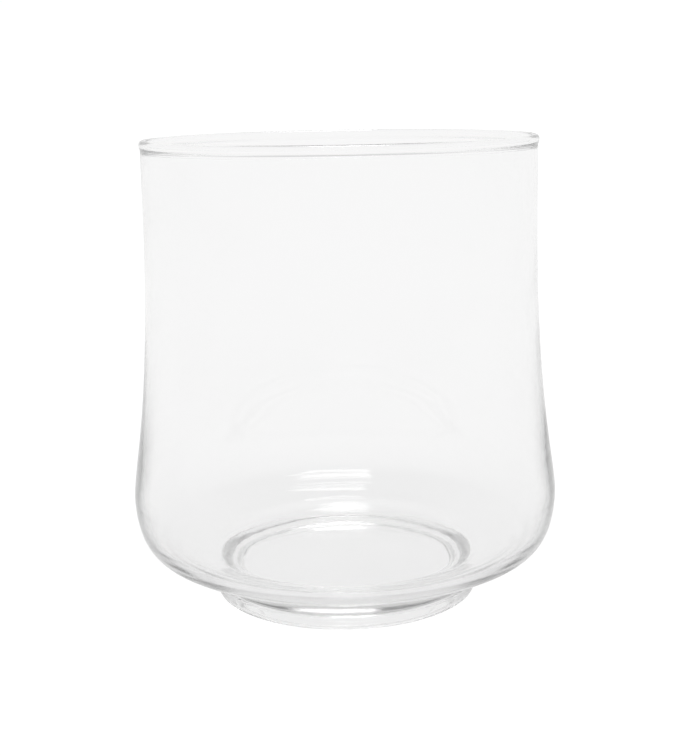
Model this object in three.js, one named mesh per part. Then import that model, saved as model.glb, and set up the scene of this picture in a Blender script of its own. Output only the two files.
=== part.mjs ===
// Glass cylinder vase: a blown bowl with a beaded rim, standing on a short round foot.
// Millimetres, +Z up. The origin is the centre of the foot's underside, where the vase stands.
import * as THREE from 'three';

// ---- Driving dimensions ----

const HEIGHT = 177.5;
const RIM_RADIUS = 75; // outermost point of the rim bead
const FOOT_RADIUS = 51.5;
const FOOT_HEIGHT = 9;
const JOINT_GAP = 0.3; // between the foot's top and the bowl's underside

// The bowl's wall from its floor to just under the bead: outer radius, height, glass thickness.
const WALL = [
  [53.2, 11.7, 4.8], // edge of the floor
  [64.0, 15.6, 4.3],
  [71.2, 18.4, 3.9], // rounded shoulder
  [76.6, 21.6, 3.5],
  [80.3, 27.6, 3.2],
  [82.4, 40.0, 2.8], // widest
  [81.4, 51.0, 2.4],
  [79.6, 63.5, 1.9],
  [77.5, 81.0, 1.5],
  [75.6, 106.0, 1.3],
  [74.6, 135.0, 1.3], // waist
  [74.4, 171.9, 1.4],
];

const BEAD_HALF_WIDTH = 1.7;
const BEAD_HALF_HEIGHT = 1.9;
const BEAD_START = -0.3 * Math.PI; // where the bead leaves the outer wall, as an angle round its section
const BEAD_END = 1.45 * Math.PI; // where it meets the inner wall

const CREASE_RADIUS = 53.4; // where the floor turns down into its sunken middle
const CREASE_HEIGHT = 16.5;
const WELL_RADIUS = 44.6; // the sunken middle
const WELL_HEIGHT = 11.3; // its edge above the table
const FLOOR_CENTRE_HEIGHT = 11.2;

const FOOT_EDGE_RADIUS = 2.8; // rounding of the foot's lower edge
const FOOT_NECK_RADIUS = 51.1; // the foot's top, where it is fused to the bowl
const RECESS_RADIUS = 44.7; // hollow under the foot, so that it stands on a ring
const RECESS_TOP_RADIUS = 42.7;
const RECESS_DEPTH = 4;

// ---- Fineness of the meshes ----

const SEGMENTS = 60; // round the axis
const WALL_STEPS = 2 * (WALL.length - 1); // two to each stretch between the heights in WALL
const BEAD_STEPS = 9;
const FOOT_EDGE_STEPS = 5;

const steps = (count, point) => Array.from({ length: count + 1 }, (_, i) => point(i / count));

// Turns a closed profile of (radius, height) points, which starts and ends on the axis, about +Z.
function turned(profile) {
  return new THREE.LatheGeometry(profile, SEGMENTS).rotateX(Math.PI / 2);
}

function clearGlass() {
  return new THREE.MeshStandardMaterial({
    color: 0xf4f4f4, roughness: 0.03, metalness: 0, transparent: true, opacity: 0.3,
  });
}

// Both faces of the wall, from the floor up, along a smooth curve through WALL.
function wallFaces() {
  const curve = new THREE.CatmullRomCurve3(WALL.map((station) => new THREE.Vector3(...station)));
  const outer = steps(WALL_STEPS, (t) => {
    const { x, y } = curve.getPoint(t);
    return new THREE.Vector2(x, y);
  });
  const inner = steps(WALL_STEPS, (t) => {
    const { x, y, z: thickness } = curve.getPoint(t);
    const along = curve.getTangent(t);
    const inward = new THREE.Vector2(-along.y, along.x).setLength(thickness);
    return new THREE.Vector2(x, y).add(inward);
  });
  return { outer, inner };
}

function rimBead() {
  return steps(BEAD_STEPS, (t) => {
    const angle = BEAD_START + t * (BEAD_END - BEAD_START);
    return new THREE.Vector2(
      RIM_RADIUS - BEAD_HALF_WIDTH + BEAD_HALF_WIDTH * Math.cos(angle),
      HEIGHT - BEAD_HALF_HEIGHT + BEAD_HALF_HEIGHT * Math.sin(angle),
    );
  });
}

function bowl() {
  const { outer, inner } = wallFaces();
  const underside = FOOT_HEIGHT + JOINT_GAP;
  const profile = [
    new THREE.Vector2(0, underside),
    new THREE.Vector2(FOOT_NECK_RADIUS, underside),
    ...outer,
    ...rimBead(),
    ...inner.filter(({ x }) => x > CREASE_RADIUS + 1).reverse(),
    new THREE.Vector2(CREASE_RADIUS, CREASE_HEIGHT),
    new THREE.Vector2(WELL_RADIUS, WELL_HEIGHT),
    new THREE.Vector2(0, FLOOR_CENTRE_HEIGHT),
  ];
  const mesh = new THREE.Mesh(turned(profile), clearGlass());
  mesh.name = 'bowl';
  return mesh;
}

function foot() {
  const lowerEdge = steps(FOOT_EDGE_STEPS, (t) => {
    const angle = (t - 1) * Math.PI / 2;
    return new THREE.Vector2(
      FOOT_RADIUS + FOOT_EDGE_RADIUS * (Math.cos(angle) - 1),
      FOOT_EDGE_RADIUS * (1 + Math.sin(angle)),
    );
  });
  const profile = [
    new THREE.Vector2(0, RECESS_DEPTH),
    new THREE.Vector2(RECESS_TOP_RADIUS, RECESS_DEPTH),
    new THREE.Vector2(RECESS_RADIUS, 0),
    ...lowerEdge,
    new THREE.Vector2(FOOT_NECK_RADIUS, FOOT_HEIGHT),
    new THREE.Vector2(0, FOOT_HEIGHT),
  ];
  const mesh = new THREE.Mesh(turned(profile), clearGlass());
  mesh.name = 'foot';
  return mesh;
}

const vase = new THREE.Group();
vase.name = 'glass_cylinder_vase';
vase.add(bowl(), foot());

export default vase;
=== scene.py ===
"""A clear glass cylinder vase on a plain pale floor, in soft studio light.

The CAD model holds the vase as two nodes, bowl and foot. Here one seamless mesh of finer glass stands
for both. Metres, +Z up, in the CAD model's own frame. The section's sizes are in millimetres.
"""

import math

import bpy
import numpy as np
from mathutils import Matrix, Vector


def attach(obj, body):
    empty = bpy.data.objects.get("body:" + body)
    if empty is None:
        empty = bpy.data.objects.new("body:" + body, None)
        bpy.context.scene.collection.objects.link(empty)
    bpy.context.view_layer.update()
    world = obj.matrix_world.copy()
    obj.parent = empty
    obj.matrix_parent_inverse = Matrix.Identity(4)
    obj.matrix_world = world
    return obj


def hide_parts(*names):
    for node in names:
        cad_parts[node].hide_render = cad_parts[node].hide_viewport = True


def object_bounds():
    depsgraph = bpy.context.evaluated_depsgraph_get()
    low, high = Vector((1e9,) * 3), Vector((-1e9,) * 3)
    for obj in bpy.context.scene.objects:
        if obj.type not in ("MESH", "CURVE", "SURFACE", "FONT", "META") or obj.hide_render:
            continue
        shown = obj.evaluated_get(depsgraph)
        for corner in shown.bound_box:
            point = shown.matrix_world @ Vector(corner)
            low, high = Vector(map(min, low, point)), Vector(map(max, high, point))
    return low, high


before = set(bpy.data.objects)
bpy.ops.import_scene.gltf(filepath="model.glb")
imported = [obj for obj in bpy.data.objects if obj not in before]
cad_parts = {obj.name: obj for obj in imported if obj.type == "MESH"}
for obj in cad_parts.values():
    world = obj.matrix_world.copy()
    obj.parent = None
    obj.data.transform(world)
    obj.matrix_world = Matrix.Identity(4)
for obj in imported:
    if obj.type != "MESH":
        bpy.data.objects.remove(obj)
cad_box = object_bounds()

MM = 0.001

# ---- Camera ----

CAMERA_DISTANCE = 533.3 * MM  # from the vase's axis
CAMERA_HEIGHT = 197.7 * MM
CAMERA_ASIDE = 0.75 * MM  # to the right of the axis
CAMERA_PITCH = math.radians(12)  # below the horizon
CAMERA_ROLL = math.radians(1.0)  # clockwise
CAMERA_LENS = 66.6  # mm, on Blender's own sensor, which is 36 mm wide

# ---- The vase's section, in mm ----

# Up the wall from the edge of the floor to just under the rim: outer radius, height, glass thickness.
WALL = (
    (53.2, 11.2, 5.3),
    (64.0, 14.9, 4.95),
    (71.2, 17.8, 4.4),
    (76.6, 21.3, 3.7),
    (80.3, 27.6, 3.2),
    (82.4, 40.0, 2.8),
    (81.4, 51.0, 2.4),
    (79.6, 63.5, 1.9),
    (77.5, 81.0, 1.5),
    (75.6, 106.0, 1.3),
    (74.6, 135.0, 1.3),
    (74.4, 171.9, 1.4),
)
RIM_TOP = cad_box[1].z / MM
RIM_RADIUS = 75  # outermost point of the rim bead
BEAD_HALF_WIDTH = 1.7
BEAD_HALF_HEIGHT = 1.9
BEAD_START = -0.3 * math.pi  # where the bead leaves the outer wall, as an angle round its section
BEAD_END = 1.45 * math.pi  # where it meets the inner wall

# Radius, height and rounding of each corner under the vase, from the axis outwards.
UNDERSIDE = (
    (0, 4.0, 0),  # top of the recess
    (42.7, 4.0, 1.5),
    (44.7, 0, 0.8),  # the ring that the vase stands on
    (51.5, 0, 2.8),
    (51.1, 10.3, 0.8),  # where the foot's side meets the bowl
)
# And of each corner of the well in the vase's floor, from the edge inwards.
WELL = (
    (53.4, 16.5, 3.0),
    (44.6, 11.3, 1.5),
    (0, 11.2, 0),
)
INNER_WALL_END = 55.8  # radius where the inner wall stops and the well's edge begins

# Faint rings left in the inner face between the shoulder and the well.
RIPPLE_HEIGHT = 0.11
RIPPLE_LENGTH = 5.5
RIPPLE_STEEPEST = 69.3  # radius
RIPPLE_FROM, RIPPLE_TO = 59.0, 75.0
SHOULDER_TOP = 40  # no rings above this height

FINE_STEP = 0.12  # spacing of the section's points before they are thinned
FIRE_POLISH = 0.7  # how far the heat has rounded every edge
POLISH_REACH = 4 * FIRE_POLISH  # further away, a point no longer counts in the rounding
MAX_TURN = math.radians(3.5)  # between two points of the thinned section
MAX_STEP = 2.5
NEARLY_STRAIGHT = math.radians(179.8)  # a corner this open is left as it is
SEGMENTS = 288  # round the axis

# ---- Glass ----

REFRACTIVE_INDEX = 1.52
GREY = (0.9, 0.9, 0.9, 1)
GLASS_DENSITY = 36  # its absorption is (1 - GREY) * GLASS_DENSITY, in 1 / metre
SWIRL_SCALE = 35  # per metre
SWIRL_DETAIL = 1
SWIRL_VALUES = (0.35, 0.65)  # the noise mostly lies between these
ROUGHNESS = (0.025, 0.075)
RELIEF = 0.00003

# ---- Studio ----

FLOOR_REACH = 6.0
FLOOR_SIDES = 64
FLOOR_BELOW = 0.0001  # the floor lies this far under the foot, so that the two faces don't mix
SEEN_BACKDROP = 1.02  # brightness as the camera sees it
SEEN_FLOOR = 1.1  # enough that the camera sees the shade round the foot as white too
AROUND = 0.945  # brightness of floor and backdrop as the glass sees them
SHADE = 0.925  # the floor's share of its brightness round the foot: a painted shade of the vase on the glowing floor
SHADE_EXTENT = (0.05, 0.24)  # metres from the axis: the shade fades out between these
CEILING = 0.68  # brightness of the backdrop overhead, as the glass sees it
CEILING_EDGE = (math.radians(35), math.radians(65))  # above the horizon: it darkens between these

# Overhead softboxes, in metres: x of the middle, width, front edge, back edge.
BANK_HEIGHT = 1.0
BANK_RADIANCE = 5
BANKS = (
    (0.05, 0.36, -0.18, 0.22),
    (0.05, 0.26, 0.40, 0.46),
    (0.05, 0.20, 0.56, 0.61),
)

BOUNCES = 200  # light is guided a long way round inside the wall

# ---- Outline helpers ----


def between(p, q, knot_p, knot_q, t):
    """The point at knot t on the line that passes p at knot_p and q at knot_q."""
    return ((knot_q - t) * p + (t - knot_p) * q) / (knot_q - knot_p)


def catmull_rom(stations, steps=48):
    """Points on a centripetal Catmull-Rom curve through stations."""
    pts = np.array(stations, float)
    pts = np.vstack([2 * pts[0] - pts[1], pts, 2 * pts[-1] - pts[-2]])
    gaps = np.linalg.norm(np.diff(pts, axis=0), axis=1)
    knots = np.concatenate([[0], np.cumsum(np.sqrt(gaps))])
    out = []
    for i in range(1, len(pts) - 2):
        p, k = pts[i - 1 : i + 3], knots[i - 1 : i + 3]
        for t in np.linspace(k[1], k[2], steps, endpoint=False):
            a = [between(p[j], p[j + 1], k[j], k[j + 1], t) for j in range(3)]
            b = [between(a[j], a[j + 1], k[j], k[j + 2], t) for j in range(2)]
            out.append(between(b[0], b[1], k[1], k[2], t))
    out.append(pts[-2])
    return np.array(out)


def arc(centre, half_width, half_height, start, end, steps=40):
    """Points on part of an ellipse, from angle start to angle end."""
    angles = np.linspace(start, end, steps + 1)
    return np.column_stack(
        [centre[0] + half_width * np.cos(angles), centre[1] + half_height * np.sin(angles)]
    )


def towards(start, end):
    """The direction from start to end, at length 1."""
    return (end - start) / np.linalg.norm(end - start)


def rounded(corners, steps=24):
    """A line through (radius, height, rounding) corners, each corner replaced by a round arc."""
    pts = np.array([corner[:2] for corner in corners], float)
    line = [pts[0]]
    for before, corner, after, (_, _, rounding) in zip(pts, pts[1:], pts[2:], corners[1:]):
        back, on = towards(corner, before), towards(corner, after)
        half = 0.5 * math.acos(np.clip(back @ on, -1, 1))
        if rounding == 0 or 2 * half > NEARLY_STRAIGHT:
            line.append(corner)
            continue
        centre = corner + (back + on) / np.linalg.norm(back + on) * rounding / math.sin(half)
        first = corner + back * rounding / math.tan(half) - centre
        last = corner + on * rounding / math.tan(half) - centre
        sweep = math.pi - 2 * half
        for t in np.linspace(0, 1, steps):
            spoke = math.sin((1 - t) * sweep) * first + math.sin(t * sweep) * last
            line.append(centre + spoke / math.sin(sweep))
    line.append(pts[-1])
    return np.array(line)


def lengths(points):
    """How far along the line each point lies."""
    return np.concatenate([[0], np.cumsum(np.linalg.norm(np.diff(points, axis=0), axis=1))])


def fire_polished(points):
    """The outline at an even fine spacing, with its edges rounded as heat rounds them."""
    along = lengths(points)
    even = np.arange(0, along[-1], FINE_STEP)
    fine = np.column_stack([np.interp(even, along, points[:, k]) for k in (0, 1)])
    reach = int(POLISH_REACH / FINE_STEP)
    weights = np.exp(-0.5 * (np.arange(-reach, reach + 1) * FINE_STEP / FIRE_POLISH) ** 2)
    weights /= weights.sum()
    # Past the axis, the outline carries on as its own mirror image.
    mirrored = np.vstack([fine[reach:0:-1] * (-1, 1), fine, fine[-2 : -reach - 2 : -1] * (-1, 1)])
    soft = np.column_stack([np.convolve(mirrored[:, k], weights, "valid") for k in (0, 1)])
    soft[0, 0] = soft[-1, 0] = 0
    return soft


def thinned(points):
    """The points that the outline's shape needs: close together where it turns."""
    across, up = np.diff(points, axis=0).T
    heading = np.unwrap(np.arctan2(up, across))
    along = lengths(points)
    kept = [0]
    for i in range(1, len(points) - 1):
        turn = np.abs(heading[i] - heading[kept[-1]])
        if turn > MAX_TURN or along[i] - along[kept[-1]] > MAX_STEP:
            kept.append(i)
    kept.append(len(points) - 1)
    return points[kept]


# ---- The vase's section ----


def wall_faces():
    """The wall's outer and inner outlines, from the floor up."""
    curve = catmull_rom(WALL)
    outer, thickness = curve[:, :2], curve[:, 2:]
    heading = np.gradient(outer, axis=0)
    inward = np.column_stack([-heading[:, 1], heading[:, 0]])
    inner = outer + inward / np.linalg.norm(inward, axis=1)[:, None] * thickness
    return outer, inner


def rippled(inner):
    """The inner outline with faint rings where the shoulder runs down to the well."""
    radius, height = inner.T
    across = np.clip((radius - RIPPLE_FROM) / (RIPPLE_TO - RIPPLE_FROM), 0, 1)
    fade = np.where(height < SHOULDER_TOP, np.sqrt(np.sin(math.pi * across)), 0)
    wave = np.sin(2 * math.pi * (radius - RIPPLE_STEEPEST) / RIPPLE_LENGTH)
    return np.column_stack([radius, height + RIPPLE_HEIGHT * fade * wave])


def section():
    """The vase's outline: from the axis out under the foot, up outside, down inside to the axis."""
    outer, inner = wall_faces()
    base = rounded((*UNDERSIDE, (*WALL[0][:2], 0)))
    bead = arc(
        (RIM_RADIUS - BEAD_HALF_WIDTH, RIM_TOP - BEAD_HALF_HEIGHT),
        BEAD_HALF_WIDTH, BEAD_HALF_HEIGHT, BEAD_START, BEAD_END,
    )
    inner = rippled(inner[inner[:, 0] > INNER_WALL_END][::-1])
    well = rounded(((*inner[-1], 0), *WELL))
    return np.vstack([base, outer[1:], bead, inner[:-1], well])


# ---- Blender helpers ----


def new_object(name, data):
    """A new object in the scene, made of the mesh, lamp or camera in data."""
    made = bpy.data.objects.new(name, data)
    bpy.context.scene.collection.objects.link(made)
    return made


def empty_tree(owner):
    """The nodes and links of a material or world, without the nodes that it starts with."""
    owner.use_nodes = True
    nodes, links = owner.node_tree.nodes, owner.node_tree.links
    nodes.clear()
    return nodes, links


def map_range(nodes, values, results, interpolation="LINEAR"):
    """A node that maps the stretch from values[0] to values[1] onto results, and is flat outside it."""
    node = nodes.new("ShaderNodeMapRange")
    node.interpolation_type = interpolation
    node.inputs["From Min"].default_value, node.inputs["From Max"].default_value = values
    node.inputs["To Min"].default_value, node.inputs["To Max"].default_value = results
    return node


# ---- The vase ----


def turned(name, outline):
    """A closed mesh made by turning the outline, which starts and ends on the axis, about +Z."""
    angles = np.linspace(0, 2 * math.pi, SEGMENTS, endpoint=False)
    rings = outline[1:-1]
    ring_points = [(r * math.cos(a), r * math.sin(a), z) for r, z in rings for a in angles]
    bottom, top = len(ring_points), len(ring_points) + 1
    vertices = np.array(ring_points + [(0, 0, outline[0, 1]), (0, 0, outline[-1, 1])]) * MM
    faces = []
    for j in range(SEGMENTS):
        k = (j + 1) % SEGMENTS
        faces.append((bottom, k, j))
        for i in range(len(rings) - 1):
            a, b = i * SEGMENTS, (i + 1) * SEGMENTS
            faces.append((a + j, a + k, b + k, b + j))
        faces.append((b + j, b + k, top))
    mesh = bpy.data.meshes.new(name)
    mesh.from_pydata(vertices.tolist(), [], faces)
    mesh.shade_smooth()
    return new_object(name, mesh)


def glass():
    """Clear, fire-polished glass with a faint unevenness in its surface."""
    material = bpy.data.materials.new("clear_glass")
    nodes, links = empty_tree(material)
    output = nodes.new("ShaderNodeOutputMaterial")
    surface = nodes.new("ShaderNodeBsdfPrincipled")
    surface.inputs["Base Color"].default_value = (1, 1, 1, 1)
    surface.inputs["Transmission Weight"].default_value = 1
    surface.inputs["IOR"].default_value = REFRACTIVE_INDEX
    links.new(surface.outputs["BSDF"], output.inputs["Surface"])

    where = nodes.new("ShaderNodeTexCoord")
    swirl = nodes.new("ShaderNodeTexNoise")
    swirl.inputs["Scale"].default_value = SWIRL_SCALE
    swirl.inputs["Detail"].default_value = SWIRL_DETAIL
    links.new(where.outputs["Object"], swirl.inputs["Vector"])
    dulled = map_range(nodes, SWIRL_VALUES, ROUGHNESS)
    links.new(swirl.outputs["Fac"], dulled.inputs["Value"])
    links.new(dulled.outputs["Result"], surface.inputs["Roughness"])
    relief = nodes.new("ShaderNodeBump")
    relief.inputs["Strength"].default_value = 1
    relief.inputs["Distance"].default_value = RELIEF
    links.new(swirl.outputs["Fac"], relief.inputs["Height"])
    links.new(relief.outputs["Normal"], surface.inputs["Normal"])

    body = nodes.new("ShaderNodeVolumeAbsorption")
    body.inputs["Color"].default_value = GREY
    body.inputs["Density"].default_value = GLASS_DENSITY
    links.new(body.outputs["Volume"], output.inputs["Volume"])
    return material


vase = turned("vase_glass", thinned(fire_polished(section())))
vase.data.materials.append(glass())
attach(vase, "root")
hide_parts("bowl", "foot")

# ---- The studio ----


def light_by_ray(nodes, links, seen):
    """A node that gives the brightness seen to the camera's rays and its To Min to all others."""
    path = nodes.new("ShaderNodeLightPath")
    level = map_range(nodes, (0, 1), (AROUND, seen))
    links.new(path.outputs["Is Camera Ray"], level.inputs["Value"])
    return level


def floor_glow():
    """A glow with a painted shade round the foot, though still white to the camera."""
    material = bpy.data.materials.new("floor")
    nodes, links = empty_tree(material)
    output = nodes.new("ShaderNodeOutputMaterial")
    glow = nodes.new("ShaderNodeEmission")
    links.new(glow.outputs["Emission"], output.inputs["Surface"])
    level = light_by_ray(nodes, links, SEEN_FLOOR)
    links.new(level.outputs["Result"], glow.inputs["Strength"])
    where = nodes.new("ShaderNodeTexCoord")
    radius = nodes.new("ShaderNodeVectorMath")
    radius.operation = "LENGTH"
    links.new(where.outputs["Object"], radius.inputs[0])
    # Painted shade: the glow's colour darkens towards the foot.
    shade = map_range(nodes, SHADE_EXTENT, (SHADE, 1), "SMOOTHSTEP")
    links.new(radius.outputs["Value"], shade.inputs["Value"])
    links.new(shade.outputs["Result"], glow.inputs["Color"])
    return material


def studio_floor():
    """A wide glowing disc under the vase."""
    mesh = bpy.data.meshes.new("floor")
    ring = [
        (FLOOR_REACH * math.cos(a), FLOOR_REACH * math.sin(a), -FLOOR_BELOW)
        for a in np.linspace(0, 2 * math.pi, FLOOR_SIDES, endpoint=False)
    ]
    mesh.from_pydata(ring, [], [tuple(range(len(ring)))])
    mesh.materials.append(floor_glow())
    new_object("floor", mesh)


def studio_world():
    """A glow all round that is darker overhead."""
    world = bpy.data.worlds.new("studio")
    bpy.context.scene.world = world
    nodes, links = empty_tree(world)
    output = nodes.new("ShaderNodeOutputWorld")
    sky = nodes.new("ShaderNodeBackground")
    sky.inputs["Color"].default_value = (1, 1, 1, 1)
    links.new(sky.outputs["Background"], output.inputs["Surface"])
    where = nodes.new("ShaderNodeTexCoord")
    direction = nodes.new("ShaderNodeSeparateXYZ")
    links.new(where.outputs["Generated"], direction.inputs["Vector"])
    edge = [math.sin(elevation) for elevation in CEILING_EDGE]
    ceiling = map_range(nodes, edge, (AROUND, CEILING), "SMOOTHSTEP")
    links.new(direction.outputs["Z"], ceiling.inputs["Value"])
    level = light_by_ray(nodes, links, SEEN_BACKDROP)
    links.new(ceiling.outputs["Result"], level.inputs["To Min"])
    links.new(level.outputs["Result"], sky.inputs["Strength"])


def softbox(x, width, front, back):
    """A lamp of BANK_RADIANCE that shines straight down and that the camera doesn't see."""
    lamp = bpy.data.lights.new("softbox", "AREA")
    lamp.shape = "RECTANGLE"
    lamp.size, lamp.size_y = width, back - front
    lamp.energy = BANK_RADIANCE * math.pi * lamp.size * lamp.size_y
    box = new_object("softbox", lamp)
    box.location = (x, 0.5 * (front + back), BANK_HEIGHT)
    box.visible_camera = False


def camera():
    """The photo's viewpoint."""
    data = bpy.data.cameras.new("camera")
    data.lens = CAMERA_LENS
    cam = new_object("camera", data)
    turn = Matrix.Rotation(math.pi / 2 - CAMERA_PITCH, 4, "X") @ Matrix.Rotation(-CAMERA_ROLL, 4, "Z")
    place = Matrix.Translation((CAMERA_ASIDE, -CAMERA_DISTANCE, CAMERA_HEIGHT))
    cam.matrix_world = place @ turn
    bpy.context.scene.camera = cam


studio_floor()
studio_world()
for bank in BANKS:
    softbox(*bank)
camera()
scene = bpy.context.scene
scene.view_settings.view_transform = "Standard"
scene.cycles.max_bounces = BOUNCES
scene.cycles.transmission_bounces = BOUNCES
scene.cycles.glossy_bounces = BOUNCES
